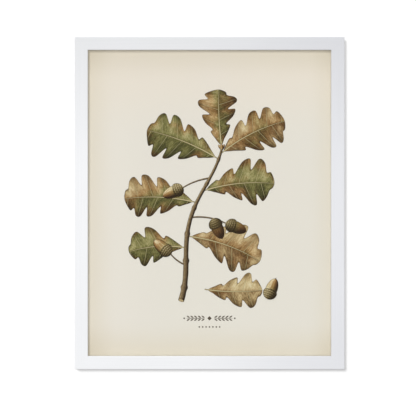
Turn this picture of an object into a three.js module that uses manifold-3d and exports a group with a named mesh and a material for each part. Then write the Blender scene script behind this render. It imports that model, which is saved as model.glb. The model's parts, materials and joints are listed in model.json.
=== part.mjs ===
// A white wooden picture frame with a 16 x 20 inch art print behind clear acrylic, ready to hang on a wall.
//
// Millimetres. +X is to the viewer's right, +Y goes into the wall, +Z is up.
// The origin is on the wall, where the nail meets the middle notch of the sawtooth hanger.
//
// Four mitred rails carry a rabbet behind their front lip. Into it go, from the front, the acrylic sheet,
// the print, a corrugated filler board and the back board. Turn buttons on the rails hold the boards in, each
// swivelling on its own screw. V nails pull the mitres together from behind.

import * as THREE from "three";
import { mergeVertices } from "three/addons/utils/BufferGeometryUtils.js";
import Module from "manifold-3d";

const wasm = await Module();
wasm.setup();

// ---------- driving dimensions ----------

const INCH = 25.4;
const SHEET_W = 16 * INCH;
const SHEET_H = 20 * INCH;
const LIP_COVER = 0.25 * INCH; // how far the lip covers the sheet on each side
const FACE_W = 21.6; // width of a rail seen from the front
const SHEET_PLAY = 0.8; // room round the sheets in the rabbet
const GAP = 0.2; // between pieces that lie on each other
const HOLE_PLAY = 0.3; // between a shank and its hole, all round
const MITRE_GAP = 0.16; // the glued joint's hairline

const ACRYLIC_T = 2;
const AIR_GAP = 0.6; // between the acrylic and the print
const PRINT_T = 0.3;
const FILLER_T = 4;
const BACK_BOARD_T = 3;
const BACK_RECESS = 0.3; // back board below the rails' back faces
const FRAME_D = 15;
const WALL_GAP = 3; // the rails' back faces stand this far off the wall, on the bumpers

const HANGER_TO_TOP = 9; // from the hanger's notch up to the frame's top edge

// ---------- dimensions worked out from them ----------

const SIGHT_W = SHEET_W - 2 * LIP_COVER;
const SIGHT_H = SHEET_H - 2 * LIP_COVER;
const OUTER_W = SIGHT_W + 2 * FACE_W;
const OUTER_H = SIGHT_H + 2 * FACE_W;
const WOOD_BEHIND = FACE_W - LIP_COVER - SHEET_PLAY; // width of a rail's back face

const BACK_Y = -WALL_GAP;
const FRONT_Y = BACK_Y - FRAME_D;
const BACK_BOARD_Y = BACK_Y - BACK_RECESS; // each board's rear face
const FILLER_Y = BACK_BOARD_Y - BACK_BOARD_T - GAP;
const PRINT_Y = FILLER_Y - FILLER_T - GAP;
const ACRYLIC_Y = PRINT_Y - PRINT_T - AIR_GAP;
const LIP_Y = ACRYLIC_Y - ACRYLIC_T - GAP; // the lip's rear face

const TOP_Z = HANGER_TO_TOP;
const CENTRE_Z = TOP_Z - OUTER_H / 2;

// ---------- materials ----------

const finish = (color, roughness, metalness = 0, more = {}) =>
  new THREE.MeshStandardMaterial({ color, roughness, metalness, ...more });

const whitePaint = finish(0xf1f1f2, 0.45);
const clearAcrylic = finish(0xf4f8f8, 0.05, 0, { transparent: true, opacity: 0.12 });
const creamPaper = finish(0xe4dfd0, 0.85);
const kraftBoard = finish(0xb89468, 0.9);
const hardboard = finish(0x9a7350, 0.75);
const blackSteel = finish(0x1c1c1e, 0.4, 0.8);
const zincSteel = finish(0xb9bcc0, 0.35, 0.9);
const clearRubber = finish(0xd9dcdc, 0.5);

// ---------- helpers ----------

const at = (x, y, z) => new THREE.Matrix4().makeTranslation(x, y, z);

/** A closed three.js geometry, moved by a matrix, as a solid that can be joined and cut. */
function solid(geometry, matrix = new THREE.Matrix4()) {
  const bare = geometry.clone().applyMatrix4(matrix);
  bare.deleteAttribute("normal");
  bare.deleteAttribute("uv");
  const merged = mergeVertices(bare, 1e-4);
  return new wasm.Manifold(
    new wasm.Mesh({
      numProp: 3,
      vertProperties: new Float32Array(merged.attributes.position.array),
      triVerts: new Uint32Array(merged.index.array),
    }),
  );
}

/** The faceted geometry of a solid. */
function geometryOf(body) {
  const { numProp, numVert, vertProperties, triVerts } = body.getMesh();
  const points = new Float32Array(numVert * 3);
  for (let i = 0; i < numVert; i++) {
    points.set(vertProperties.subarray(i * numProp, i * numProp + 3), i * 3);
  }
  const geometry = new THREE.BufferGeometry();
  geometry.setAttribute("position", new THREE.BufferAttribute(points, 3));
  geometry.setIndex(new THREE.BufferAttribute(new Uint32Array(triVerts), 1));
  geometry.computeVertexNormals();
  return geometry;
}

function named(name, geometry, material) {
  const mesh = new THREE.Mesh(geometry, material);
  mesh.name = name;
  return mesh;
}

/** An outline drawn in x and z, given thickness towards the front from its rear face at y = rearY. */
function plate(outline, thickness, rearY, curveSegments = 10) {
  return new THREE.ExtrudeGeometry(outline, { depth: thickness, bevelEnabled: false, curveSegments })
    .rotateX(Math.PI / 2)
    .translate(0, rearY, 0);
}

function roundedRectangle(width, height, radius, centreZ = 0) {
  const right = width / 2;
  const top = centreZ + height / 2;
  const bottom = centreZ - height / 2;
  return new THREE.Shape()
    .moveTo(-right + radius, bottom)
    .absarc(right - radius, bottom + radius, radius, -Math.PI / 2, 0)
    .absarc(right - radius, top - radius, radius, 0, Math.PI / 2)
    .absarc(-right + radius, top - radius, radius, Math.PI / 2, Math.PI)
    .absarc(-right + radius, bottom + radius, radius, Math.PI, 1.5 * Math.PI);
}

/** A solid of revolution about +Y from points of radius and y. */
function turned(profile, segments) {
  return new THREE.LatheGeometry(
    profile.map(([radius, y]) => new THREE.Vector2(radius, y)),
    segments,
  );
}

// ---------- turn buttons and their screws ----------

const SCREW_TO_EDGE = 7; // from the frame's outer edge in to the screw
const BUTTON_T = 1;
const BUTTON_Y = BACK_Y + GAP + BUTTON_T; // the button's rear face
const BUTTON_HEEL_R = 5.5;
const BUTTON_TIP_R = 3.2;
const BUTTON_REACH = 17; // from the screw to the tip's centre
const SCREW_HEAD_R = 3.3;
const SCREW_HEAD_H = 1.4;
const SCREW_SHANK_R = 1.4;
const SCREW_LENGTH = 12;
const SCREW_POINT = 3;
const CROSS_LENGTH = 4;
const CROSS_WIDTH = 0.8;
const CROSS_DEPTH = 0.8;
const SCREW_SEAT_Y = BUTTON_Y + GAP; // the underside of the screw's head
const SCREW_HOLE_R = SCREW_SHANK_R + HOLE_PLAY; // through the button and into the rail
const PILOT_DEPTH = SCREW_LENGTH - (SCREW_SEAT_Y - BACK_Y) + 2 * HOLE_PLAY;

/** A teardrop of two circles and their common tangents, pointing up from its screw hole. */
function buttonGeometry() {
  const lean = Math.asin((BUTTON_HEEL_R - BUTTON_TIP_R) / BUTTON_REACH);
  const outline = new THREE.Shape()
    .absarc(0, BUTTON_REACH, BUTTON_TIP_R, lean, Math.PI - lean)
    .absarc(0, 0, BUTTON_HEEL_R, Math.PI - lean, 2 * Math.PI + lean);
  outline.holes.push(new THREE.Path().absarc(0, 0, SCREW_HOLE_R, 0, 2 * Math.PI));
  return plate(outline, BUTTON_T, BUTTON_Y, 14);
}

/** A pan head with a cross recess, on a plain pointed shank. */
function screwGeometry() {
  const top = SCREW_SEAT_Y + SCREW_HEAD_H;
  const body = turned(
    [
      [0, SCREW_SEAT_Y - SCREW_LENGTH],
      [SCREW_SHANK_R, SCREW_SEAT_Y - SCREW_LENGTH + SCREW_POINT],
      [SCREW_SHANK_R, SCREW_SEAT_Y],
      [SCREW_HEAD_R, SCREW_SEAT_Y],
      [SCREW_HEAD_R, SCREW_SEAT_Y + 0.55 * SCREW_HEAD_H],
      [0.8 * SCREW_HEAD_R, SCREW_SEAT_Y + 0.88 * SCREW_HEAD_H],
      [0.45 * SCREW_HEAD_R, top],
      [0, top],
    ],
    20,
  );
  const slot = new THREE.BoxGeometry(CROSS_LENGTH, 2 * CROSS_DEPTH, CROSS_WIDTH);
  const across = slot.clone().rotateY(Math.PI / 2);
  return geometryOf(
    solid(body)
      .subtract(solid(slot, at(0, top, 0)))
      .subtract(solid(across, at(0, top, 0))),
  );
}

// ---------- V nails ----------

const V_NAIL_LEG = 4.4;
const V_NAIL_T = 0.6;
const V_NAIL_DEPTH = 10;
const V_NAIL_INSETS = { outer: 3.4, inner: 8.4 }; // apex to each of the frame's two outer edges
const V_SLOT_PLAY = 0.25;

/** Two equal legs along +X and +Z from an apex at inset, inset; grow widens it all round for its slot. */
function vNailGeometry(inset, grow = 0) {
  const low = inset - V_NAIL_T / 2 - grow;
  const high = inset + V_NAIL_T / 2 + grow;
  const end = inset + V_NAIL_LEG + grow;
  const outline = new THREE.Shape(
    [
      [low, low],
      [end, low],
      [end, high],
      [high, high],
      [high, end],
      [low, end],
    ].map(([x, z]) => new THREE.Vector2(x, z)),
  );
  const rearY = grow > 0 ? BACK_Y + 1 : BACK_Y - 0.1;
  return plate(outline, rearY - (BACK_Y - V_NAIL_DEPTH - grow), rearY);
}

// ---------- rails ----------

const ARRIS_R = 1.2; // outer front edge
const INNER_ARRIS_R = 0.7; // edge of the lip round the opening
const BACK_CHAMFER = 0.8;
const CORNER_R = 2; // the frame's outer corners, seen from the front

/** The moulding's section: x is the distance in from the outer edge, y the depth. */
function railProfile() {
  return new THREE.Shape()
    .moveTo(0, BACK_Y - BACK_CHAMFER)
    .lineTo(0, FRONT_Y + ARRIS_R)
    .absarc(ARRIS_R, FRONT_Y + ARRIS_R, ARRIS_R, Math.PI, 1.5 * Math.PI)
    .absarc(FACE_W - INNER_ARRIS_R, FRONT_Y + INNER_ARRIS_R, INNER_ARRIS_R, -Math.PI / 2, 0)
    .lineTo(FACE_W, LIP_Y)
    .lineTo(WOOD_BEHIND, LIP_Y)
    .lineTo(WOOD_BEHIND, BACK_Y)
    .lineTo(BACK_CHAMFER, BACK_Y);
}

/**
 * One mitred rail of outer length `length`, across from another `reach` away. It lies along X with its
 * outer edge at z = 0 and grows towards +Z. `holes` lists the x and z, radius and depth of its pilot holes.
 */
function railGeometry(length, reach, holes) {
  const bar = new THREE.ExtrudeGeometry(railProfile(), {
    depth: length,
    bevelEnabled: false,
    curveSegments: 6,
  });
  const inward = new THREE.Vector3(0, 0, 1);
  const deep = new THREE.Vector3(0, 1, 0);
  const along = new THREE.Vector3(-1, 0, 0);
  bar.applyMatrix4(new THREE.Matrix4().makeBasis(inward, deep, along)).translate(length / 2, 0, 0);

  // The mitre: every corner of an end moves in by its distance from the outer edge.
  const points = bar.attributes.position;
  const setBack = MITRE_GAP / Math.SQRT2;
  for (let i = 0; i < points.count; i++) {
    const end = length / 2 - points.getZ(i) - setBack;
    points.setX(i, Math.sign(points.getX(i)) * end);
  }

  const outline = roundedRectangle(length, reach, CORNER_R, reach / 2);
  let rail = solid(bar).intersect(solid(plate(outline, FRAME_D + 4, BACK_Y + 2, 6)));
  for (const { x, z, radius, depth } of holes) {
    const drill = new THREE.CylinderGeometry(radius, radius, depth + 2, 16);
    rail = rail.subtract(solid(drill, at(x, BACK_Y + 1 - depth / 2, z)));
  }
  for (const inset of Object.values(V_NAIL_INSETS)) {
    const slot = solid(vNailGeometry(inset, V_SLOT_PLAY), at(-length / 2, 0, 0));
    rail = rail.subtract(slot).subtract(slot.mirror([1, 0, 0]));
  }
  return geometryOf(rail);
}

// ---------- sawtooth hanger and its nails ----------

const HANGER_T = 0.8;
const HANGER_TAB = 8.5; // the flat end that is nailed down
const HANGER_BEND = 1.8;
const HANGER_BAR = 24; // the raised middle, with the teeth
const HANGER_LENGTH = HANGER_BAR + 2 * (HANGER_BEND + HANGER_TAB);
const HANGER_RISE = 1.8; // room behind the raised middle for a nail's head
const HANGER_TOP_Z = 6.4;
const TOOTH_PITCH = 2.4;
const TOOTH_DEPTH = 1.9;
const TEETH = 9;
const HANGER_NAIL_X = HANGER_LENGTH / 2 - 4.4;
const HANGER_NAIL_Z = 2.6;
const HANGER_NAIL_R = 0.8;
const HANGER_NAIL_LENGTH = 10;
const HANGER_NAIL_HOLE_R = HANGER_NAIL_R + HOLE_PLAY;
const HANGER_NAIL_HEAD_R = 1.9;
const HANGER_END_R = 3.4;
const HANGER_Y = BACK_Y + GAP; // the tabs' front face

/** The strip's bent section, cut to an outline with round ends and teeth that point down. */
function hangerGeometry() {
  const half = HANGER_LENGTH / 2;
  const bend = half - HANGER_TAB;
  const bar = HANGER_BAR / 2;
  const path = [
    [-half, 0],
    [-bend, 0],
    [-bar, HANGER_RISE],
    [bar, HANGER_RISE],
    [bend, 0],
    [half, 0],
  ];
  const near = path.map(([x, y]) => new THREE.Vector2(x, HANGER_Y + y));
  const far = path.map(([x, y]) => new THREE.Vector2(x, HANGER_Y + y + HANGER_T)).reverse();
  const strip = new THREE.ExtrudeGeometry(new THREE.Shape([...near, ...far]), {
    depth: 2 * HANGER_TOP_Z,
    bevelEnabled: false,
  }).translate(0, 0, -HANGER_TOP_Z);

  const endX = half - HANGER_END_R;
  const endZ = HANGER_TOP_Z - HANGER_END_R;
  const tabBottomZ = endZ - HANGER_END_R;
  const outline = new THREE.Shape()
    .moveTo(-endX, HANGER_TOP_Z)
    .absarc(-endX, endZ, HANGER_END_R, Math.PI / 2, 1.5 * Math.PI)
    .lineTo(-bend - 1, tabBottomZ);
  for (let i = 0; i <= TEETH; i++) {
    const tip = (i - TEETH / 2) * TOOTH_PITCH;
    outline.lineTo(tip, -TOOTH_DEPTH);
    if (i < TEETH) outline.lineTo(tip + TOOTH_PITCH / 2, 0);
  }
  outline
    .lineTo(bend + 1, tabBottomZ)
    .lineTo(endX, tabBottomZ)
    .absarc(endX, endZ, HANGER_END_R, -Math.PI / 2, Math.PI / 2);

  let hanger = solid(strip).intersect(solid(plate(outline, 6, BACK_Y + 5)));
  for (const x of [-HANGER_NAIL_X, HANGER_NAIL_X]) {
    const hole = new THREE.CylinderGeometry(HANGER_NAIL_HOLE_R, HANGER_NAIL_HOLE_R, 6, 16);
    hanger = hanger.subtract(solid(hole, at(x, HANGER_Y, HANGER_NAIL_Z)));
  }
  return geometryOf(hanger);
}

function hangerNailGeometry() {
  const seat = HANGER_Y + HANGER_T + GAP;
  return turned(
    [
      [0, seat - HANGER_NAIL_LENGTH],
      [HANGER_NAIL_R, seat - HANGER_NAIL_LENGTH + 2],
      [HANGER_NAIL_R, seat],
      [HANGER_NAIL_HEAD_R, seat],
      [HANGER_NAIL_HEAD_R, seat + 0.35],
      [1.3, seat + 0.7],
      [0, seat + 0.8],
    ],
    16,
  );
}

// ---------- bumpers ----------

const BUMPER_R = 5;
const BUMPER_FOOT_R = 3.4;
const BUMPER_IN = 20; // from the frame's side edges in to a bumper's centre

/** A low dome with a flat foot that touches the wall. */
function bumperGeometry() {
  const glued = BACK_Y + 0.1;
  const dome = [0, 1, 2, 3, 4].map((i) => {
    const turn = (i / 4) * (Math.PI / 2);
    const radius = BUMPER_FOOT_R + (BUMPER_R - BUMPER_FOOT_R) * Math.cos(turn);
    return [radius, -1.4 + 1.4 * Math.sin(turn)];
  });
  return turned([[0, glued], [BUMPER_R, glued], ...dome, [0, 0]], 28);
}

// ---------- the sheets in the rabbet ----------

const SHEET_REST = 0.3; // the sheets stand this far above the rabbet's floor
const SHEETS_Z = TOP_Z - OUTER_H + WOOD_BEHIND + SHEET_REST + SHEET_H / 2;

// trim is how much smaller than the nominal sheet each one is cut, all round.
const SHEETS = [
  { name: "acrylic", t: ACRYLIC_T, rearY: ACRYLIC_Y, trim: 0.2, cornerR: 0.5, material: clearAcrylic },
  { name: "art_print", t: PRINT_T, rearY: PRINT_Y, trim: 0, cornerR: 0.3, material: creamPaper },
  { name: "filler_board", t: FILLER_T, rearY: FILLER_Y, trim: 0.1, cornerR: 0.5, material: kraftBoard },
  { name: "back_board", t: BACK_BOARD_T, rearY: BACK_BOARD_Y, trim: 0.2, cornerR: 2.5, material: hardboard },
];

function sheetGeometry({ t, rearY, trim, cornerR }) {
  const outline = roundedRectangle(SHEET_W - 2 * trim, SHEET_H - 2 * trim, cornerR, SHEETS_Z);
  return plate(outline, t, rearY, 3);
}

// ---------- assembly ----------

const picture = new THREE.Group();

// The rails in the order of quarter turns about +Y from the bottom one. In a rail's own frame -x and +x
// are its two ends, and `ends` says where those lie on the frame.
const LONG_BUTTON_X = 135;
const SHORT_BUTTON_X = 112;
const RAILS = [
  { side: "bottom", length: OUTER_W, reach: OUTER_H, buttonX: SHORT_BUTTON_X, ends: ["left", "right"] },
  { side: "left", length: OUTER_H, reach: OUTER_W, buttonX: LONG_BUTTON_X, ends: ["upper", "lower"] },
  { side: "top", length: OUTER_W, reach: OUTER_H, buttonX: SHORT_BUTTON_X, ends: ["right", "left"] },
  { side: "right", length: OUTER_H, reach: OUTER_W, buttonX: LONG_BUTTON_X, ends: ["lower", "upper"] },
];
const CORNERS = ["bottom_left", "top_left", "top_right", "bottom_right"];

RAILS.forEach(({ side, length, reach, buttonX, ends }, turn) => {
  const centre = new THREE.Group();
  centre.position.z = CENTRE_Z;
  centre.rotation.y = (turn * Math.PI) / 2;
  const rail = new THREE.Group();
  rail.position.z = -reach / 2;
  centre.add(rail);
  picture.add(centre);

  const holes = [-buttonX, buttonX].map((x) => ({
    x,
    z: SCREW_TO_EDGE,
    radius: SCREW_HOLE_R,
    depth: PILOT_DEPTH,
  }));
  if (side === "top") {
    for (const x of [-HANGER_NAIL_X, HANGER_NAIL_X]) {
      holes.push({
        x,
        z: HANGER_TO_TOP - HANGER_NAIL_Z,
        radius: HANGER_NAIL_HOLE_R,
        depth: HANGER_NAIL_LENGTH,
      });
    }
  }
  rail.add(named(`rail_${side}`, railGeometry(length, reach, holes), whitePaint));

  ends.forEach((end, i) => {
    const x = i === 0 ? -buttonX : buttonX;
    const button = named(`turn_button_${side}_${end}`, buttonGeometry(), blackSteel);
    const screw = named(`screw_${side}_${end}`, screwGeometry(), zincSteel);
    button.position.set(x, 0, SCREW_TO_EDGE);
    screw.position.set(x, 0, SCREW_TO_EDGE);
    rail.add(button, screw);
  });

  for (const [place, inset] of Object.entries(V_NAIL_INSETS)) {
    const nail = named(`v_nail_${CORNERS[turn]}_${place}`, vNailGeometry(inset), zincSteel);
    nail.position.x = -length / 2;
    rail.add(nail);
  }
});

for (const sheet of SHEETS) picture.add(named(sheet.name, sheetGeometry(sheet), sheet.material));
picture.add(named("hanger", hangerGeometry(), zincSteel));

for (const [place, sign] of [["left", -1], ["right", 1]]) {
  const nail = named(`hanger_nail_${place}`, hangerNailGeometry(), zincSteel);
  nail.position.set(sign * HANGER_NAIL_X, 0, HANGER_NAIL_Z);
  const bumper = named(`bumper_${place}`, bumperGeometry(), clearRubber);
  bumper.position.set(sign * (OUTER_W / 2 - BUMPER_IN), 0, TOP_Z - OUTER_H + WOOD_BEHIND / 2);
  picture.add(nail, bumper);
}

export default picture;
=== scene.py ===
import json
import math

import bpy
import numpy as np
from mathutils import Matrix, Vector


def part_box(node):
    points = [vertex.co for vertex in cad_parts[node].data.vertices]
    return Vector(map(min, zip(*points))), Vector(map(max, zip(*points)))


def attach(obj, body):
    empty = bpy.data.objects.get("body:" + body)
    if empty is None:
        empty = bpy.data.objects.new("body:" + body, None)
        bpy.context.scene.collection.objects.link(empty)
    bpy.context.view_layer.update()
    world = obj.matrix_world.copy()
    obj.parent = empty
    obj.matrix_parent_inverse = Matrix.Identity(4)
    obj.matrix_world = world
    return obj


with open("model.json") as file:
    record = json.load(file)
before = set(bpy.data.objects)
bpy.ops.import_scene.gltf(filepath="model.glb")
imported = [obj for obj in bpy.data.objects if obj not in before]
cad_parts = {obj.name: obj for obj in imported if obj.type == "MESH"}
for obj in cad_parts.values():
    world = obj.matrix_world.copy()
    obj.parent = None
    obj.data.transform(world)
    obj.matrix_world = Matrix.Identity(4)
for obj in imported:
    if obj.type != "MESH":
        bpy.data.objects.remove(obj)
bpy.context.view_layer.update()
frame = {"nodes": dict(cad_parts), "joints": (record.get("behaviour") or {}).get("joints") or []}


# ---- Frame rails ----
# Four lengths of solid pine moulding, mitred and glued at the corners. Front, sides and inner edge carry
# two coats of satin white, brushed along each length; the back face is bare wood with a little overspray.


class Signal:
    """A shader socket that takes part in arithmetic: each operator adds the Math node it stands for."""

    def __init__(self, finish, socket):
        self.finish = finish
        self.socket = socket

    def _math(self, operation, *operands):
        inputs = dict(enumerate(operands))
        return self.finish.node("ShaderNodeMath", {"operation": operation}, inputs)

    def __add__(self, other):
        return self._math("ADD", self, other)

    def __radd__(self, other):
        return self._math("ADD", other, self)

    def __sub__(self, other):
        return self._math("SUBTRACT", self, other)

    def __rsub__(self, other):
        return self._math("SUBTRACT", other, self)

    def __mul__(self, other):
        return self._math("MULTIPLY", self, other)

    def __rmul__(self, other):
        return self._math("MULTIPLY", other, self)

    def __pow__(self, other):
        return self._math("POWER", self, other)

    def __abs__(self):
        return self._math("ABSOLUTE", self)

    def sine(self):
        return self._math("SINE", self)

    def fraction(self):
        return self._math("FRACT", self)

    def floor(self):
        return self._math("FLOOR", self)

    def lesser(self, other):
        return self._math("MINIMUM", self, other)

    def rise(self, low, high, start=0.0, end=1.0):
        """Goes smoothly from start where this is low to end where it is high, and is level beyond."""
        inputs = {"Value": self, "From Min": low, "From Max": high, "To Min": start, "To Max": end}
        return self.finish.node("ShaderNodeMapRange", {"interpolation_type": "SMOOTHSTEP"}, inputs)


def shade(red, green, blue):
    """A colour given as three sRGB numbers up to 255, as the linear colour that sockets take."""
    parts = [c / 255 for c in (red, green, blue)]
    return (*[c / 12.92 if c <= 0.04045 else ((c + 0.055) / 1.055) ** 2.4 for c in parts], 1.0)


class Finish:
    """A material in the making, with one method that adds a node of any type."""

    def __init__(self, name):
        self.material = bpy.data.materials.new(name)
        self.material.use_nodes = True
        self.tree = self.material.node_tree
        self.tree.nodes.clear()

    def node(self, kind, settings=None, inputs=None, output=0):
        """Adds a node, sets its settings first, then the values or links of its sockets."""
        made = self.tree.nodes.new(kind)
        for key, value in (settings or {}).items():
            if key == "stops":
                ramp = made.color_ramp.elements
                while len(ramp) < len(value):
                    ramp.new(1.0)
                for element, (place, colour) in zip(ramp, value):
                    element.position = place
                    element.color = colour
            else:
                setattr(made, key, value)
        for key, value in (inputs or {}).items():
            if isinstance(value, Signal):
                self.tree.links.new(value.socket, made.inputs[key])
            else:
                made.inputs[key].default_value = value
        return Signal(self, made.outputs[output])

    def place(self, scale=(1.0, 1.0, 1.0), centre=(0.0, 0.0, 0.0), turn=(0.0, 0.0, 0.0)):
        """Object coordinates measured from centre, along turned axes, then multiplied by scale."""
        inputs = {
            "Vector": self.node("ShaderNodeTexCoord", output="Object"),
            "Location": centre,
            "Rotation": turn,
            "Scale": tuple(1 / factor for factor in scale),
        }
        return self.node("ShaderNodeMapping", {"vector_type": "TEXTURE"}, inputs)

    def axis(self, vector, letter):
        return self.node("ShaderNodeSeparateXYZ", None, {0: vector}, letter)

    def axes(self, vector, letters="XYZ"):
        return [self.axis(vector, letter) for letter in letters]

    def noise(self, vector, scale, detail=3.0, roughness=0.5):
        inputs = {"Vector": vector, "Scale": scale, "Detail": detail, "Roughness": roughness}
        return self.node("ShaderNodeTexNoise", None, inputs)

    def ramp(self, factor, *stops):
        return self.node("ShaderNodeValToRGB", {"stops": stops}, {0: factor})

    def mix(self, factor, under, over, mode="MIX"):
        """Lays one colour over another by factor. Sockets 6, 7 and output 2 are the node's colour ones."""
        settings = {"data_type": "RGBA", "blend_type": mode}
        return self.node("ShaderNodeMix", settings, {0: factor, 6: under, 7: over}, 2)

    def grey(self, value):
        """A number as a grey colour."""
        return self.node("ShaderNodeCombineColor", None, {0: value, 1: value, 2: value})

    def tinted(self, colour, value):
        """A colour made lighter or darker by a number near 1."""
        return self.mix(1.0, colour, self.grey(value), "MULTIPLY")

    def relief(self, height, depth, strength=1.0):
        """A bumped normal from a height between 0 and 1 that stands for depth metres."""
        inputs = {"Height": height, "Distance": depth, "Strength": strength}
        return self.node("ShaderNodeBump", None, inputs)

    def done(self, shader=None, **sockets):
        """Ends in a Principled shader with these sockets, or in the shader given."""
        if shader is None:
            inputs = {key.replace("_", " "): value for key, value in sockets.items()}
            shader = self.node("ShaderNodeBsdfPrincipled", None, inputs)
        output = self.tree.nodes.new("ShaderNodeOutputMaterial")
        self.tree.links.new(shader.socket, output.inputs["Surface"])
        return self.material


def dress(node, material):
    """Puts a material on every slot of a CAD node."""
    for slot in frame["nodes"][node].material_slots:
        slot.material = material


frame_low = np.minimum(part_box("rail_left")[0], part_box("rail_bottom")[0])
frame_high = np.maximum(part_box("rail_right")[1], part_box("rail_top")[1])
frame_middle = (frame_low + frame_high) / 2
frame_half = (frame_high - frame_low) / 2


def white_paint(name, along, shine=0.42):
    """Brushed satin white over pine. Painted light and shade lie over the whole frame: lighter at the left,
    darker to the right and upwards and towards the lower right. Fine streaks run along the length, with a
    slow random tone; past the back arris it gives way to bare wood, with uneven overspray at the outer edge."""
    f = Finish(name)
    streak_scale = tuple(6.0 if axis == along else 900.0 for axis in "XYZ")
    streak = f.noise(f.place(streak_scale), 1.0, 3.0, 0.6)
    drift = f.noise(f.place(centre=(0.31, 0.2, 0.13)), 5.0, 2.0)
    x, depth, z = f.axes(f.place(centre=tuple(frame_middle)))
    half_width, half_depth, half_height = frame_half
    # Painted light and shade: lighter at the left, darker to the right, darker upwards and darker along the
    # bottom, most at the lower right.
    paint_and_painted_shade = f.mix(x.rise(-0.3 * half_width, half_width), painted_light_left_white, painted_shade_right_white)
    paint_and_painted_shade = f.mix(z.rise(0.1 * half_height, 1.2 * half_height), paint_and_painted_shade, painted_shade_upper_tint, "MULTIPLY")
    painted_shade_foot = z.rise(-0.9 * half_height, -0.4 * half_height, 1.0, 0.0)
    painted_shade_foot = painted_shade_foot * x.rise(-0.9 * half_width, 0.9 * half_width, 0.25, 0.85)
    paint_and_painted_shade = f.mix(painted_shade_foot, paint_and_painted_shade, painted_shade_foot_tint, "MULTIPLY")
    paint_and_painted_shade = f.tinted(paint_and_painted_shade, streak.rise(0.25, 0.75, 0.978, 1.010))
    paint_and_painted_shade = f.tinted(paint_and_painted_shade, drift.rise(0.3, 0.7, 0.988, 1.008))

    edge = (half_width - abs(x)).lesser(half_height - abs(z))
    spray = f.noise(f.place(), 420.0, 3.0, 0.7) * overspray_reach
    bare = depth.rise(half_depth - arris_start, half_depth - arris_end)
    bare = bare * (edge - spray).rise(0.0004, 0.0020)
    grain_scale = tuple(9.0 if axis == along else 160.0 for axis in "XYZ")
    ring = f.noise(f.place(grain_scale), 1.0, 4.0, 0.62)
    wood = f.ramp(
        ring, (0.25, shade(222, 196, 156)), (0.5, shade(211, 181, 138)), (0.72, shade(184, 148, 104))
    )
    pores = f.noise(f.place(streak_scale), 1.6, 2.0).rise(0.55, 0.7)
    wood = f.mix(pores * 0.35, wood, shade(158, 122, 82))
    return f.done(
        Base_Color=f.mix(bare, paint_and_painted_shade, wood),
        Roughness=bare.rise(0, 1, shine, 0.78) + streak * 0.06,
        Specular_IOR_Level=0.4,
        Normal=f.relief(streak + ring * bare, 0.00005, 0.6),
    )


arris_start, arris_end, overspray_reach = 0.00035, 0.00005, 0.0024
# The whites and tints of the painted light and shade on the rails: lighter at the left, darker at the right,
# upwards and along the bottom.
painted_light_left_white = shade(246, 247, 249)
painted_shade_right_white = shade(234, 235, 239)
painted_shade_upper_tint = shade(240, 240, 240)
painted_shade_foot_tint = shade(248, 248, 248)
for side, along in (("left", "Z"), ("right", "Z"), ("top", "X"), ("bottom", "X")):
    dress(f"rail_{side}", white_paint(f"satin_white_{side}", along))


# ---- Mitre filler ----
# The glued mitres are filled and rubbed flush before painting, so that no joint shows from the front. Each
# filler is a wafer of the moulding's own section, 0.15 mm thick, that fills the joint but for a hair.

face_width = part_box("rail_left")[1][0] - frame_low[0]
lip_depth = 0.0042
outer_strip = 0.0024
outer_arris, inner_arris, corner_trim = 0.0012, 0.0007, 0.00065
wafer_thickness, sunk, short_of_back = 0.00015, 0.00001, 0.0008


def moulding_section():
    """Outline of the wafer as distance in from the outer edge and depth: the front with both arrises as
    arcs, the lip's rear, and a strip down the outer side that stays clear of the V nails. It begins where
    the mitre's sharp tip is trimmed."""
    front, rear = frame_low[1] + sunk, frame_high[1] - short_of_back
    lip_rear = frame_low[1] + lip_depth
    inner_edge = face_width - sunk
    turn = np.linspace(math.acos(1 - corner_trim / outer_arris), np.pi / 2, 4)
    outer = [outer_arris * (1 - np.cos(turn)), front + outer_arris * (1 - np.sin(turn))]
    turn = np.linspace(0, np.pi / 2, 7)
    inner = [inner_edge - inner_arris * (1 - np.sin(turn)), front + inner_arris * (1 - np.cos(turn))]
    ends = [[inner_edge, outer_strip, outer_strip, corner_trim], [lip_rear, lip_rear, rear, rear]]
    return np.concatenate([outer, inner, ends], axis=1)


def new_object(name, data, material=None):
    """A new object of the scene, at the origin, made from a mesh, lamp or camera."""
    if material:
        data.materials.append(material)
    made = bpy.data.objects.new(name, data)
    bpy.context.scene.collection.objects.link(made)
    return made


def filler_wafer(name, side_x, side_z):
    """The section stood on the diagonal of one corner: x and z both move in by the distance, and the two
    faces lie half a thickness to each side of the diagonal."""
    inward, depth = moulding_section()
    corner = frame_middle[[0, 2]] + frame_half[[0, 2]] * (side_x, side_z)
    across = np.array([side_x, -side_z]) * wafer_thickness / 2 / math.sqrt(2)
    sheets = [
        np.stack([corner[0] - side_x * inward + shift[0], depth, corner[1] - side_z * inward + shift[1]], -1)
        for shift in (across, -across)
    ]
    count = len(inward)
    ring = np.arange(count)
    wall = np.stack([ring, np.roll(ring, -1), np.roll(ring, -1) + count, ring + count], -1)
    faces = wall.tolist() + [ring[::-1].tolist(), (ring + count).tolist()]
    if side_x * side_z > 0:
        faces = [face[::-1] for face in faces]
    mesh = bpy.data.meshes.new(name)
    mesh.from_pydata(np.concatenate(sheets).tolist(), [], faces)
    wafer = new_object(name, mesh, filler_paint)
    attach(wafer, "frame")


filler_paint = white_paint("satin_white_filler", "Y")
for upper, side_z in (("top", 1), ("bottom", -1)):
    for side, side_x in (("left", -1), ("right", 1)):
        filler_wafer(f"mitre_filler_{upper}_{side}", side_x, side_z)


# ---- Acrylic ----
# A 2 mm sheet of clear acrylic with an anti-reflection coating, cut to the size of the rabbet. It lies
# loose behind the lip and takes the place of glass.


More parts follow.
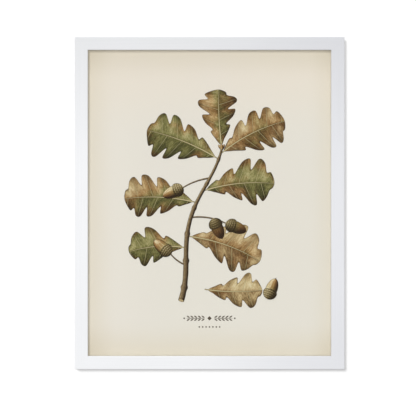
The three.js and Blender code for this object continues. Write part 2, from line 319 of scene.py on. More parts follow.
def coated_acrylic():
    """Clear, with only the faint mirror that its coating leaves, stronger at a slant. The mirror is on
    the face that light enters by, and its inner side is clear."""
    f = Finish("clear_acrylic")
    mirror = f.node("ShaderNodeFresnel", None, {"IOR": 1.2})
    mirror = mirror * (1 - f.node("ShaderNodeNewGeometry", output="Backfacing"))
    clear = f.node("ShaderNodeBsdfTransparent", None, {"Color": (0.985, 0.99, 0.988, 1.0)})
    gloss = f.node("ShaderNodeBsdfGlossy", None, {"Roughness": 0.02, "Color": (1.0, 1.0, 1.0, 1.0)})
    return f.done(f.node("ShaderNodeMixShader", None, {0: mirror, 1: clear, 2: gloss}))


dress("acrylic", coated_acrylic())


# ---- Art print: the paper ----
# A 16 x 20 inch sheet of heavy uncoated art paper in cream. Its printed ground is toned darker and warmer
# towards the edges, like an old plate; beside the bottom lip it carries painted shade, and the paper's own
# fibre shows faintly through it.

paper_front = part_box("art_print")[0][1]
sight_half = frame_half - face_width
sight_centre = (frame_middle[0], paper_front, frame_middle[2])


def toned_paper():
    """Cream in a middle that lies a little up and to the right, paler at the left and warmer at the top;
    each side fades over its last fifth, the bottom a little later, the corners add both fades, and the
    lowest strip, beside the bottom lip, is darkened by painted shade."""
    f = Finish("toned_art_paper")
    scale = (1 / sight_half[0], 1.0, 1 / sight_half[2])
    pale_middle = (sight_centre[0] + 0.004, sight_centre[1], sight_centre[2] + 0.007)
    x, z = f.axes(f.place(scale, pale_middle), "XZ")
    cloud = (f.noise(f.place(), 9.0, 3.0, 0.55) - 0.5) * 0.04
    side_fade = (abs(x) + cloud).rise(0.78, 1.04) * 0.50
    end_fade = (abs(z) + z.rise(-0.5, 0.5, -0.03, 0.0) + cloud).rise(0.76, 1.02) * 0.62
    blush = f.noise(f.place(centre=(0.1, 0.0, 0.2)), 4.0, 2.0).rise(0.45, 0.75)
    ground = f.mix(x.rise(-0.9, -0.4, 1.0, 0.0), shade(235, 229, 218), shade(238, 231, 220))
    ground = f.mix(z.rise(0.35, 0.85), ground, shade(239, 229, 215))
    ground = f.mix(blush * 0.30, ground, shade(236, 227, 219))
    ground = f.mix(1 - (1 - side_fade) * (1 - end_fade), ground, shade(226, 214, 191))
    ground = f.mix(side_fade * end_fade * 1.4, ground, shade(208, 196, 176))
    # Painted shade: the lowest strip, beside the bottom lip, is darker.
    ground = f.tinted(ground, z.rise(-1.035, -0.975, 0.94, 1.0))
    fibre = f.noise(f.place((1.0, 1.0, 1.6)), 900.0, 3.0, 0.7)
    ground = f.tinted(ground, fibre.rise(0.2, 0.8, 0.985, 1.012))
    speck = f.noise(f.place(), 260.0, 1.0).rise(0.74, 0.79)
    ground = f.mix(speck * 0.18, ground, shade(178, 160, 128))
    return f.done(
        Base_Color=ground,
        Roughness=0.9,
        Specular_IOR_Level=0.25,
        Normal=f.relief(fibre, 0.00003, 0.5),
    )


dress("art_print", toned_paper())


# ---- Art print: the printed oak sprig ----
# A plate in the manner of old field guides: an oak twig with lobed leaves and acorns, in brown, olive and
# cream inks. Ink has no thickness to speak of, so each part is a skin 0.03 mm thick lying on the paper.

ink_thickness, layer_step = 0.00003, 0.00006
mm = 0.001
towards_light = np.array([-0.48, 0.62, 0.62])
towards_light = towards_light / np.linalg.norm(towards_light)


def ink_skin(name, grids, layer, material):
    """Lays flat grids of points on the paper as closed skins. Each grid is x and z in mm from the middle of
    the opening, with its map (u, v) and its three pattern values; the rear is the same grid set back by
    the ink's thickness, and a wall of quads joins the two round the border."""
    points, faces, maps, values = [], [], [], []
    start = 0
    front_y = paper_front - layer_step * (layer + 1)
    for grid in grids:
        x, z, u, v, *pattern = np.broadcast_arrays(*grid)
        number = np.arange(x.size).reshape(x.shape)
        front = np.stack([x * mm + sight_centre[0], np.full_like(x, front_y), z * mm + sight_centre[2]], -1)
        rear = front + (0.0, ink_thickness, 0.0)
        sheet = np.stack([number[:-1, :-1], number[:-1, 1:], number[1:, 1:], number[1:, :-1]], -1)
        sheet = sheet.reshape(-1, 4)
        border = [number[0, :-1], number[:-1, -1], number[-1, :0:-1], number[:0:-1, 0]]
        border = np.concatenate(border)
        following = np.roll(border, -1)
        wall = np.stack([border + x.size, following + x.size, following, border], -1)
        skin = np.concatenate([sheet, sheet[:, ::-1] + x.size, wall])
        across = x[:-1, 1:] - x[:-1, :-1], z[:-1, 1:] - z[:-1, :-1]
        along = x[1:, :-1] - x[:-1, :-1], z[1:, :-1] - z[:-1, :-1]
        if (across[0] * along[1] - across[1] * along[0]).sum() < 0:
            skin = skin[:, ::-1]
        faces.append(skin + start)
        points.append(np.concatenate([front.reshape(-1, 3), rear.reshape(-1, 3)]))
        maps.append(np.tile(np.stack([u, v], -1).reshape(-1, 2), (2, 1)))
        values.append(np.tile(np.stack(pattern, -1).reshape(-1, 3), (2, 1)))
        start += 2 * x.size
    points, faces = np.concatenate(points), np.concatenate(faces)
    maps, values = np.concatenate(maps), np.concatenate(values)
    mesh = bpy.data.meshes.new(name)
    mesh.from_pydata(points.tolist(), [], faces.tolist())
    mesh.uv_layers.new(name="Growth").data.foreach_set("uv", maps[faces.ravel()].ravel())
    mesh.attributes.new("pattern", "FLOAT_VECTOR", "POINT").data.foreach_set("vector", values.ravel())
    piece = new_object(name, mesh, material)
    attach(piece, "frame")


def spine(base, heading, bend, length, steps, sway=0):
    """Points along a line that starts at base and turns evenly by bend degrees, swaying by sway degrees
    to each side on the way; also its directions."""
    share = np.linspace(0, 1, steps)
    turn = np.radians(heading + bend * share + sway * np.sin(2 * np.pi * share))
    step = length / (steps - 1)
    x = base[0] + np.concatenate([[0.0], np.cumsum(np.cos(turn[1:]) * step)])
    z = base[1] + np.concatenate([[0.0], np.cumsum(np.sin(turn[1:]) * step)])
    return x[:, None], z[:, None], np.cos(turn)[:, None], np.sin(turn)[:, None]


stalk_radius = 0.95


def oak_leaf(base, heading, bend, length, breadth, lobes, tilt):
    """u runs along the midrib and v from margin to margin. A short stalk comes first. Half the breadth
    then follows a drop shape, widest past the middle, cut by round lobes: one minus the eighth power of
    a cosine, with some of a squared sine. They are deepest at mid length. Points slide forward in step
    with their distance from the midrib, less so near the tip, which sweeps lobes and side veins towards
    it. The halves' lobes are a little out of step, and tilt makes one half narrower. The columns crowd
    towards the midrib, which hides where the halves meet."""
    rows, stalk = 221, 0.055
    u = np.linspace(0, 1, rows)[:, None]
    v = np.linspace(-1, 1, 49)[None, :]
    v = np.sign(v) * np.abs(v) ** 1.6
    x, z, cos, sin = spine(base, heading, bend, length, rows)
    blade = np.clip((u - stalk) / (1 - stalk), 0, 1)
    drop = np.sin(np.pi * blade**1.30).clip(0, 1) ** 0.70
    phase = lobes * blade**0.94 + 0.16 * np.sign(v) + 0.07 * np.sin(5 * u + heading)
    swell = np.sin(np.pi * phase) ** 2
    hump = 0.82 * (1 - (1 - swell) ** 4) + 0.18 * swell
    cut = 0.50 * np.sin(np.pi * blade) ** 0.5
    wave = 1 + 0.07 * np.sin(9.0 * u + 3 * np.sign(v) + heading)
    half = breadth / 2 * drop * (1 - cut * (1 - hump)) * wave * (1 + tilt * np.tanh(4 * v))
    half = np.maximum(half, stalk_radius - 0.45 * u)
    slide = (0.50 - 0.34 * blade**2) * half * np.abs(v) ** 1.08 * np.clip(blade * 12, 0, 1)
    px = x + cos * slide - sin * v * half
    pz = z + sin * slide + cos * v * half
    return px, pz, u, v, phase, v * half, (1 - np.abs(v)) * half


def grown_values(f):
    """The map's u and v, and the three pattern values."""
    growth = f.node("ShaderNodeUVMap", {"uv_map": "Growth"})
    pattern = f.node("ShaderNodeAttribute", {"attribute_name": "pattern"}, output="Vector")
    return f.axes(growth, "XY") + f.axes(pattern)


def printed(f, ink):
    """Matt ink of this colour."""
    return f.done(Base_Color=ink, Roughness=0.82, Specular_IOR_Level=0.25)


def leaf_ink(name, pitch, seed, age, lit_side):
    """Olive leaf ink that turns brown and then straw with age. Pattern values are the count of veins, the
    mm off the midrib and the mm in from the margin. Light falls on one half and on the front of each fold
    between veins, and broken pen strokes run beside the veins."""
    f = Finish(name)
    u, v, veins, off, margin = grown_values(f)
    here = f.place(centre=(0.013 * seed, 0.0, 0.027 * seed))
    near_vein = abs(veins.fraction() - 0.5) * pitch
    mottle = f.noise(here, 70.0, 4.0, 0.6)
    fine = f.noise(here, 520.0, 3.0, 0.7)
    stroke_width, hatch_pitch = 2.0, 0.95
    beside_veins = {0: veins * (pitch / stroke_width), 1: v * 4.5, 2: seed * 1.7}
    beside_veins = f.node("ShaderNodeCombineXYZ", None, beside_veins)
    stroke = f.noise(beside_veins, 1.0, 2.0, 0.55)
    side = (v * lit_side).rise(-0.25, 0.25)
    tone = 0.38 + side * 0.29 + (veins * (2 * math.pi) + 2.2).sine() * abs(v).rise(0.02, 0.5) * 0.15
    tone = tone + (abs(v) * math.pi * 1.3).sine() * 0.10 - abs(v).rise(0.7, 1.0) * 0.12
    tone = tone + (mottle - 0.5) * 0.50 + (fine - 0.5) * 0.55 + (stroke - 0.5) * 0.75
    green = f.ramp(
        tone,
        (0.05, shade(46, 45, 26)),
        (0.30, shade(78, 76, 42)),
        (0.55, shade(112, 108, 62)),
        (0.80, shade(148, 141, 90)),
        (1.0, shade(183, 172, 124)),
    )
    brown = f.ramp(
        tone,
        (0.05, shade(57, 40, 25)),
        (0.30, shade(94, 66, 38)),
        (0.55, shade(134, 98, 58)),
        (0.80, shade(170, 134, 86)),
        (1.0, shade(204, 174, 124)),
    )
    straw = f.ramp(
        tone,
        (0.05, shade(88, 68, 42)),
        (0.30, shade(142, 116, 76)),
        (0.55, shade(186, 160, 114)),
        (0.80, shade(211, 191, 146)),
        (1.0, shade(228, 213, 175)),
    )
    turning = f.noise(here, 24.0, 3.0, 0.55) + abs(v) * 0.16 + u * 0.10 + age
    ink = f.mix(turning.rise(0.52, 0.78), green, brown)
    ink = f.mix(turning.rise(0.72, 1.00), ink, straw)
    scorch = (f.noise(here, 60.0, 3.0, 0.6) + margin.rise(0.0, 5.0, 0.22, 0.0)).rise(0.66, 0.78)
    ink = f.mix(scorch * 0.55, ink, shade(74, 50, 31))
    hatch = ((veins * (pitch / hatch_pitch) + fine * 0.4) * (2 * math.pi)).sine().rise(0.1, 0.9)
    ink = f.mix(hatch * tone.rise(0.2, 0.75, 0.42, 0.05), ink, shade(44, 36, 22))
    vein = near_vein.rise(0.14, 0.50, 1.0, 0.0) * abs(v).rise(0.55, 1.0, 1.0, 0.25)
    shadow = (near_vein - 0.62).rise(-0.1, 0.5, 1.0, 0.0) * (1 - vein)
    ink = f.mix(shadow * 0.22, ink, shade(50, 42, 26))
    ink = f.mix(vein * 0.75, ink, shade(190, 178, 132))
    rib = abs(off) - (1 - u) * 0.75
    ink = f.mix(rib.rise(0.35, 0.75, 0.85, 0.0), ink, shade(66, 54, 32))
    ink = f.mix(rib.rise(0.0, 0.30, 0.95, 0.0), ink, shade(206, 190, 144))
    outline = margin.rise(0.30, 0.72, 1.0, 0.0)
    ink = f.mix(outline * 0.9, ink, shade(56, 44, 28))
    return printed(f, ink)


def rounded(x, z, cos, sin, radius, v, lean):
    """Flat points of a round form of this radius along a line, and how brightly a lamp at the upper left
    lights it: the form's normal is worked out as if it stood up from the paper, leaning along the line
    by lean."""
    swell = np.sqrt(np.clip(1 - v**2, 0, 1))
    normal = [-sin * v + cos * lean * swell, swell, cos * v + sin * lean * swell]
    normal = np.stack(np.broadcast_arrays(*normal))
    normal = normal / np.linalg.norm(normal, axis=0).clip(1e-6)
    lit = np.tensordot(towards_light, normal, 1)
    return x - sin * v * radius, z + cos * v * radius, lit.clip(0, 1)


def twig(base, heading, bend, length, thick, thin, knots=0, steps=None, sway=0):
    """A tapering round rod on an even bend, swollen at its knots. v runs across it."""
    steps = steps or max(24, int(length / 1.2))
    u = np.linspace(0, 1, steps)[:, None]
    v = np.linspace(-1, 1, 17)[None, :]
    x, z, cos, sin = spine(base, heading, bend, length, steps, sway)
    radius = (thick + (thin - thick) * u) / 2
    if knots:
        beat = np.abs(((u * knots) % 1) - 0.5) * length / knots
        radius = radius * (1 + 0.30 * np.exp(-((beat / 3.2) ** 2)))
    radius = radius * (1 + 0.035 * np.sin(37 * u) + 0.02 * np.sin(83 * u))
    px, pz, lit = rounded(x, z, cos, sin, radius, v, 0.0)
    return px, pz, u * length / 10, v, lit, u * length, (1 - np.abs(v)) * radius


def nut(base, heading, length, radius, lean):
    """An acorn's nut: a barrel that rounds over to a short point. u runs from its base to the point."""
    rows = 71
    u = np.linspace(0, 1, rows)[:, None]
    v = np.linspace(-1, 1, 41)[None, :]
    x, z, cos, sin = spine(base, heading, 0, length, rows)
    body = np.sqrt(np.clip(1 - np.clip((u - 0.22) / 0.72, 0, 1) ** 2.3, 0, 1))
    body = body * (0.95 + 0.05 * np.sin(4 * u))
    point = 0.13 * np.clip((1.0 - u) / 0.10, 0, 1) ** 0.8
    girth = radius * np.maximum(np.maximum(body, point * (u > 0.86)), 0.02)
    px, pz, lit = rounded(x, z, cos, sin, girth, v, lean + 1.1 * np.clip(u - 0.45, 0, 1) ** 1.5 * 2)
    around = np.arcsin(np.clip(v, -1, 1)) / np.pi
    return px, pz, u, v, lit, around, (1 - np.abs(v)) * girth


def cup(base, heading, length, radius, lean):
    """An acorn's cup: a bowl that swells quickly from its stalk to the rim, which bows towards the nut."""
    rows = 49
    u = np.linspace(0, 1, rows)[:, None]
    v = np.linspace(-1, 1, 49)[None, :]
    x, z, cos, sin = spine(base, heading, 0, length, rows)
    girth = radius * (1 - (1 - u) ** 2.6) ** 0.55 * (1 - 0.06 * np.clip(u - 0.75, 0, 1) * 4)
    girth = np.maximum(girth, 1.0)
    bow = 0.30 * radius * (1 - v**2) * u**1.5
    px, pz, lit = rounded(x + cos * bow, z + sin * bow, cos, sin, girth, v, lean - 0.8 * (1 - u) ** 1.5)
    around = np.arcsin(np.clip(v, -1, 1)) / np.pi
    margin = np.minimum((1 - np.abs(v)) * girth, (1 - u) * length)
    return px, pz, u, v, lit, around, margin


def turned(centre, slant, along, across):
    """Points that lie so far along and across a line that leaves centre at slant radians."""
    x = centre[0] + math.cos(slant) * along - math.sin(slant) * across
    z = centre[1] + math.sin(slant) * along + math.cos(slant) * across
    return x, z


def oval(centre, heading, long_radius, short_radius):
    """A flat ellipse for the twig's cut end, drawn from pole to pole along its short way. Its second
    pattern value is the distance from its centre, as a share."""
    u = np.linspace(0, 1, 33)[:, None]
    v = np.linspace(-1, 1, 33)[None, :]
    out = np.sqrt(np.clip(1 - (2 * u - 1) ** 2, 0, 1)).clip(0.02)
    px, pz = turned(centre, math.radians(heading), (2 * u - 1) * short_radius, v * out * long_radius)
    ring = np.sqrt((2 * u - 1) ** 2 + (v * out) ** 2)
    return px, pz, u, v, 0.5 + 0.4 * (1 - ring), ring, (1 - ring) * short_radius


def bark_ink():
    """Brown bark shaded round, with streaks along the twig, pale pores and a dark edge."""
    f = Finish("bark_ink")
    u, v, lit, _, margin = grown_values(f)
    stretched = f.node("ShaderNodeCombineXYZ", None, {0: u * 1.6, 1: v * 3.6})
    streak = f.noise(stretched, 1.4, 4.0, 0.65)
    fine = f.noise(f.place(), 520.0, 3.0, 0.7)
    tone = lit * 0.75 + (streak - 0.5) * 0.85 + (fine - 0.5) * 0.6
    ink = f.ramp(
        tone,
        (0.05, shade(43, 33, 23)),
        (0.35, shade(87, 69, 47)),
        (0.60, shade(136, 114, 82)),
        (0.90, shade(193, 174, 136)),
    )
    pore = f.node("ShaderNodeTexVoronoi", None, {"Vector": stretched, "Scale": 2.2})
    ink = f.mix(pore.rise(0.07, 0.16, 0.6, 0.0), ink, shade(196, 180, 144))
    return printed(f, f.mix(margin.rise(0.15, 0.55, 0.9, 0.0), ink, shade(42, 32, 22)))


def cut_wood_ink():
    """Pale end grain in rings about a darker pith, with a rim of bark."""
    f = Finish("cut_wood_ink")
    _, _, _, ring, _ = grown_values(f)
    ring = ring + f.noise(f.place(), 700.0, 2.0) * 0.10
    year = (ring * 26.0).sine() * 0.5 + 0.5
    grain = f.ramp(year, (0.2, shade(176, 152, 108)), (0.8, shade(206, 186, 144)))
    grain = f.mix(ring.rise(0.10, 0.30, 0.7, 0.0), grain, shade(110, 84, 54))
    return printed(f, f.mix(ring.rise(0.78, 0.90), grain, shade(62, 47, 31)))


def nut_ink(name, seed, green):
    """Acorn brown shaded round, streaked lengthwise, with a soft highlight and olive near the cup."""
    f = Finish(name)
    u, _, lit, around, margin = grown_values(f)
    lines = f.node("ShaderNodeCombineXYZ", None, {0: u * 2.6, 1: around * 19.0, 2: seed})
    streak = f.noise(lines, 1.0, 3.0, 0.6)
    fine = f.noise(f.place(), 600.0, 3.0, 0.7)
    tone = lit * 0.98 + (streak - 0.5) * 0.62 + (fine - 0.5) * 0.35
    brown = f.ramp(
        tone,
        (0.08, shade(52, 36, 23)),
        (0.34, shade(96, 67, 39)),
        (0.60, shade(141, 103, 60)),
        (0.82, shade(178, 142, 92)),
        (0.97, shade(226, 207, 166)),
    )
    olive = f.ramp(
        tone,
        (0.08, shade(52, 47, 26)),
        (0.40, shade(101, 94, 53)),
        (0.70, shade(151, 140, 88)),
        (0.97, shade(219, 206, 160)),
    )
    ink = f.mix((streak * 0.5 + (1 - u) * 0.8 + green).rise(0.55, 1.15), brown, olive)
    ink = f.mix((u + streak * 0.05).rise(0.90, 0.96) * 0.7, ink, shade(64, 44, 28))
    return printed(f, f.mix(margin.rise(0.18, 0.60, 0.9, 0.0), ink, shade(48, 34, 22)))


def cup_ink():
    """Rows of overlapping scales, each row set half a scale round, pale at the tip and dark beneath."""
    f = Finish("cup_ink")
    u, _, lit, around, margin = grown_values(f)
    rows = u * 5.0
    cell = (around * 9.0 + rows.floor() * 0.5).fraction() - 0.5
    lift = rows.fraction() + abs(cell) * abs(cell) * 2.4
    scale_light = lift.rise(0.15, 0.95, 0.22, -0.20) - lift.rise(0.98, 1.2) * 0.20
    fine = f.noise(f.place(), 700.0, 3.0, 0.7)
    tone = lit * 0.80 + scale_light + (fine - 0.5) * 0.4
    ink = f.ramp(
        tone,
        (0.05, shade(45, 35, 22)),
        (0.34, shade(90, 76, 47)),
        (0.62, shade(142, 124, 83)),
        (0.92, shade(201, 184, 142)),
    )
    return printed(f, f.mix(margin.rise(0.25, 0.75, 0.95, 0.0), ink, shade(40, 30, 19)))


twig_line = dict(base=(-46, -158), heading=72, bend=6, length=262, steps=263, sway=16)
twig_x, twig_z, _, _ = spine(**twig_line)


def on_twig(share):
    """The point that lies this share of the way up the twig's middle line."""
    row = int(round(share * (twig_line["steps"] - 1)))
    return float(twig_x[row, 0]), float(twig_z[row, 0])


# Sizes are in mm and angles in degrees. Each leaf: place on the twig, heading, bend, length, breadth, lobes,
# tilt, layer, age, side in the light
leaves = [
    (0.99, 98, -10, 96, 64, 3.5, 0.05, 1, 0.06, 1),
    (0.955, 40, -26, 118, 74, 4.5, -0.06, 3, 0.16, 1),
    (0.92, 148, 20, 126, 78, 4.5, 0.06, 2, -0.05, -1),
    (0.70, 18, -24, 118, 74, 4.5, 0.05, 1, -0.07, 1),
    (0.62, 166, 22, 118, 74, 4.5, -0.05, 3, 0.10, -1),
    (0.40, -6, -26, 126, 76, 4.5, 0.05, 2, 0.22, 1),
    (0.33, 170, 28, 94, 62, 3.5, -0.05, 1, -0.03, -1),
]
for number, (share, heading, bend, length, breadth, lobes, tilt, layer, age, side) in enumerate(leaves, 1):
    vein_pitch = length / lobes * 0.92
    ink = leaf_ink(f"leaf_ink_{number}", vein_pitch, number, age, side)
    leaf = oak_leaf(on_twig(share), heading, bend, length, breadth, lobes, tilt)
    ink_skin(f"printed_leaf_{number}", [leaf], layer, ink)
fallen = oak_leaf((-8, -140), -8, 14, 94, 56, 3.5, 0.04)
ink_skin("printed_fallen_leaf", [fallen], 0, leaf_ink("fallen_leaf_ink", 24.7, 9, 0.40, 1))

# Each stalk: place on the twig, heading, bend, length; its acorns: share along it, turn off it, olive, lean
stalks = [
    (0.52, 8, -34, 58, [(1.0, 4, 0.10, 0.30), (0.62, -52, -0.05, 0.30)]),
    (0.79, 186, 26, 46, [(1.0, -8, 0.02, 0.35)]),
    (0.22, 160, -30, 30, [(1.0, 10, 0.06, 0.30)]),
]
bark, brown_cup = bark_ink(), cup_ink()
shown_acorns = []
stalk_grids = []
for share, heading, bend, length, nuts in stalks:
    base = on_twig(share)
    stalk_grids.append(twig(base, heading, bend, length, thick=2.8, thin=2.0))
    x, z, _, _ = spine(base, heading, bend, length, 101)
    for along, turn, green, lean in nuts:
        row = int(round(along * 100))
        way = heading + bend * along + turn
        shown_acorns.append(((float(x[row, 0]), float(z[row, 0])), way, green, lean))
ink_skin("printed_stalks", stalk_grids, 5, bark)
ink_skin("printed_twig", [twig(thick=9.5, thin=3.8, knots=6, **twig_line)], 6, bark)
ink_skin("printed_cut_end", [oval(twig_line["base"], twig_line["heading"], 4.9, 2.1)], 7, cut_wood_ink())
bud_brown = nut_ink("bud_ink", 5.5, -0.2)
for place, turn, layer in (("left", 34, 4), ("right", -34, 5), ("middle", 0, 7)):
    bud = nut(on_twig(0.985), 94 + turn, 9.5, 2.5, 0.3)
    ink_skin(f"printed_bud_{place}", [bud], layer, bud_brown)
shown_acorns.append(((94, -156), 68, 0.05, 0.30))
for number, (base, heading, green, lean) in enumerate(shown_acorns, 1):
    seat = turned(base, math.radians(heading), 8.5, 0.0)
    flesh = nut_ink(f"nut_ink_{number}", number * 3.7, green)
    ink_skin(f"printed_nut_{number}", [nut(seat, heading, 29, 9.8, lean)], 7, flesh)
    ink_skin(f"printed_cup_{number}", [cup(base, heading, 14.0, 11.6, lean)], 8, brown_cup)


# ---- Art print: the printer's ornament ----
# Under the plate, where such sheets carry their title, stands a small ornament without words: a lozenge
# between two leafy sprigs, and a short row of dots below it, in dark brown ink.


def spindle(centre, half_length, half_height, powers, turn=0.0):
    """A flat form whose half height is one minus the distance from its middle to one power, all to
    another power. It lies along X, turned by turn degrees."""
    u = np.linspace(0, 1, 41)[:, None]
    v = np.linspace(-1, 1, 5)[None, :]
    out = np.clip(1 - np.abs(2 * u - 1) ** powers[0], 0, 1) ** powers[1]
    half = np.maximum(out * half_height, 0.02)
    px, pz = turned(centre, math.radians(turn), (2 * u - 1) * half_length, v * half)
    return px, pz, u, v, 0.0, 0.0, 1.0


def title_ink():
    """Dark brown, a little starved where the plate pressed lightly."""
    f = Finish("title_ink")
    starved = f.noise(f.place(), 700.0, 3.0, 0.7).rise(0.5, 0.8)
    return f.done(
        Base_Color=f.mix(starved * 0.6, shade(90, 80, 68), shade(146, 135, 116)),
        Roughness=0.85,
        Specular_IOR_Level=0.2,
    )


title_z, dots_z = -187.0, -201.0
rule_middle, end_dot, first_leaf, leaf_pitch, leaf_rise, dot_pitch = 22.5, 41.0, 10.5, 6.0, 2.5, 5.5
lozenge, round_end, leaf_form = (1, 1), (2, 0.5), (2, 1)
ornament = [spindle((0, title_z), 3.6, 3.6, lozenge)]
for side in (-1, 1):
    ornament.append(spindle((side * rule_middle, title_z), 15.5, 0.5, round_end))
    ornament.append(spindle((side * end_dot, title_z), 1.3, 1.3, round_end))
    for step in range(5):
        for row in (-1, 1):
            seat = (side * (first_leaf + step * leaf_pitch), title_z + row * leaf_rise)
            ornament.append(spindle(seat, 3.1, 1.05, leaf_form, row * side * 32))
ornament += [spindle((step * dot_pitch, dots_z), 1.25, 1.25, round_end) for step in range(-3, 4)]
ink_skin("printed_ornament", ornament, 0, title_ink())


# ---- Filler board ----
# A sheet of corrugated kraft board behind the print, which takes up the depth of the rabbet and keeps the
# paper flat.


def kraft():
    """Brown kraft liner with faint flute lines and flecks of pulp."""
    f = Finish("kraft_board")
    flutes = (f.axis(f.place(), "X") * (2 * math.pi / flute_pitch)).sine()
    pulp = f.noise(f.place(), 600.0, 4.0, 0.7)
    tone = pulp + flutes * 0.05
    board = f.ramp(tone, (0.3, shade(150, 118, 82)), (0.7, shade(190, 158, 118)))
    return f.done(Base_Color=board, Roughness=0.9, Normal=f.relief(flutes, 0.0001, 0.4))


flute_pitch = 0.007
dress("filler_board", kraft())


# ---- Back board ----
# A 3 mm hardboard sheet, smooth face outwards, held in the rabbet by the turn buttons. Pressed wood fibre
# gives it a fine brown fleck, and handling leaves a few pale rubs.


def hardboard():
    """Brown fibre board: fine grit, short fibres and dark specks, slow clouds, and long pale rubs."""
    f = Finish("hardboard")
    grit = f.noise(f.place(), 1100.0, 4.0, 0.75)
    fibre = f.noise(f.place((0.4, 1.0, 1.0), turn=(0.0, 0.5, 0.0)), 520.0, 2.0, 0.6)
    fleck = grit * 0.62 + fibre * 0.38
    cloud = f.noise(f.place(), 7.0, 3.0, 0.55)
    board = f.ramp(
        fleck + (cloud - 0.5) * 0.16,
        (0.30, shade(98, 68, 44)),
        (0.45, shade(126, 91, 61)),
        (0.60, shade(147, 110, 76)),
        (0.75, shade(176, 139, 101)),
    )
    speck = f.noise(f.place(), 420.0, 1.0).rise(0.70, 0.78)
    board = f.mix(speck * 0.45, board, shade(74, 50, 33))
    rub = f.noise(f.place((2.0, 1.0, 30.0), turn=(0.0, 0.5, 0.0)), 2.0, 4.0, 0.7).rise(0.62, 0.74)
    board = f.mix(rub * 0.18, board, shade(190, 160, 124))
    return f.done(
        Base_Color=board,
        Roughness=cloud.rise(0.3, 0.7, 0.5, 0.66),
        Specular_IOR_Level=0.4,
        Normal=f.relief(fleck, 0.00006, 0.5),
    )


dress("back_board", hardboard())


# ---- Turn buttons ----
# Teardrop levers stamped from 1 mm steel with a black oxide finish. Each swivels on its screw, its tip
# over the back board, and swings clear when the frame is opened.

screw_centres = {
    joint["child"].removeprefix("button_"): joint["pos_m"] for joint in frame["joints"]
}


def black_oxide(centre):
    """Near black steel, with fine grinding marks and bright steel where the screw and fingers rub it."""
    f = Finish("black_oxide")
    where = f.place(centre=centre)
    reach = f.node("ShaderNodeVectorMath", {"operation": "LENGTH"}, {0: where}, 1)
    scratch = f.noise(f.place((1.0, 1.0, 12.0), turn=(0.0, 0.7, 0.0)), 300.0, 3.0, 0.7)
    smut = f.noise(f.place(), 180.0, 3.0, 0.6)
    worn = (reach.rise(0.0034, 0.0046, 1.0, 0.0) + reach.rise(0.017, 0.021) * 0.6) * smut.rise(0.4, 0.7)
    base = f.ramp(smut, (0.3, shade(31, 31, 33)), (0.7, shade(50, 49, 50)))
    base = f.mix((worn + scratch.rise(0.66, 0.8) * 0.3).lesser(1.0), base, shade(128, 128, 130))
    return f.done(
        Base_Color=base,
        Metallic=0.75,
        Roughness=smut.rise(0.3, 0.7, 0.34, 0.5),
        Normal=f.relief(scratch, 0.00002, 0.5),
    )


for place, centre in screw_centres.items():
    dress(f"turn_button_{place}", black_oxide(centre))


# ---- Screws ----
# Pan head steel screws with a cross recess and bright zinc plate, one through each turn button into its
# pilot hole in the rail.


def bright_zinc(name, centre):
    """Zinc plate with turning marks in rings round the middle and a faint blue and straw passivation."""
    f = Finish(name)
    x, z = f.axes(f.place(centre=centre), "XZ")
    radius = (x * x + z * z) ** 0.5
    rings = (radius * (2 * math.pi / tool_mark_pitch)).sine()
    tint = f.noise(f.place(), 240.0, 2.0, 0.5)
    bluish, plain, straw = shade(176, 182, 190), shade(196, 197, 198), shade(201, 194, 176)
    base = f.ramp(tint, (0.3, bluish), (0.55, plain), (0.75, straw))
    return f.done(
        Base_Color=base,
        Metallic=1.0,
        Roughness=tint.rise(0.3, 0.7, 0.24, 0.38),
        Normal=f.relief(rings, 0.00001, 0.4),
    )


tool_mark_pitch = 0.00045
for place, centre in screw_centres.items():
    dress(f"screw_{place}", bright_zinc(f"zinc_screw_{place}", centre))


# ---- V nails ----
# Small steel angles pressed into the back of each mitre, two to a corner, which hold the joint closed
# while the glue sets and after.


def nail_steel():
    """Zinc plate dulled by the press, with scuffs along its edge."""
    f = Finish("v_nail_zinc")
    scuff = f.noise(f.place(), 900.0, 3.0, 0.7)
    base = f.ramp(scuff, (0.3, shade(132, 134, 138)), (0.7, shade(188, 190, 192)))
    return f.done(Base_Color=base, Metallic=1.0, Roughness=scuff.rise(0.3, 0.7, 0.3, 0.5))


nail_finish = nail_steel()
for node in frame["nodes"]:
    if node.startswith("v_nail_"):
        dress(node, nail_finish)


# ---- Hanger ----
# A strip of zinc plated steel, bent to stand off the rail in its middle and cut with saw teeth below, so
# that the frame can be shifted level on its nail. Two flat headed nails hold its ends to the top rail.


def plated_strip():
    """Zinc plate with rolling lines along the strip and a few fine scratches."""
    f = Finish("zinc_strip")
    rolled = f.noise(f.place((8.0, 900.0, 900.0)), 1.0, 3.0, 0.6)
    scratch = f.noise(f.place((1.0, 1.0, 14.0), turn=(0.0, 0.9, 0.0)), 350.0, 3.0, 0.7)
    tint = f.noise(f.place(), 160.0, 2.0, 0.5)
    bluish, plain, straw = shade(188, 194, 202), shade(206, 207, 208), shade(212, 205, 188)
    base = f.ramp(tint, (0.3, bluish), (0.55, plain), (0.75, straw))
    return f.done(
        Base_Color=f.mix(scratch.rise(0.62, 0.75) * 0.35, base, shade(222, 224, 226)),
        Metallic=1.0,
        Roughness=rolled.rise(0.3, 0.7, 0.32, 0.5),
        Normal=f.relief(rolled, 0.00001, 0.5),
    )


dress("hanger", plated_strip())
for side in ("left", "right"):
    middle = tuple(np.mean(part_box(f"hanger_nail_{side}"), axis=0))
    dress(f"hanger_nail_{side}", bright_zinc(f"zinc_nail_{side}", middle))


# ---- Bumpers ----
# Two self-adhesive domes of clear soft polyurethane at the back of the bottom corners. They keep the frame
# off the wall, level with its hanger, and stop it sliding.


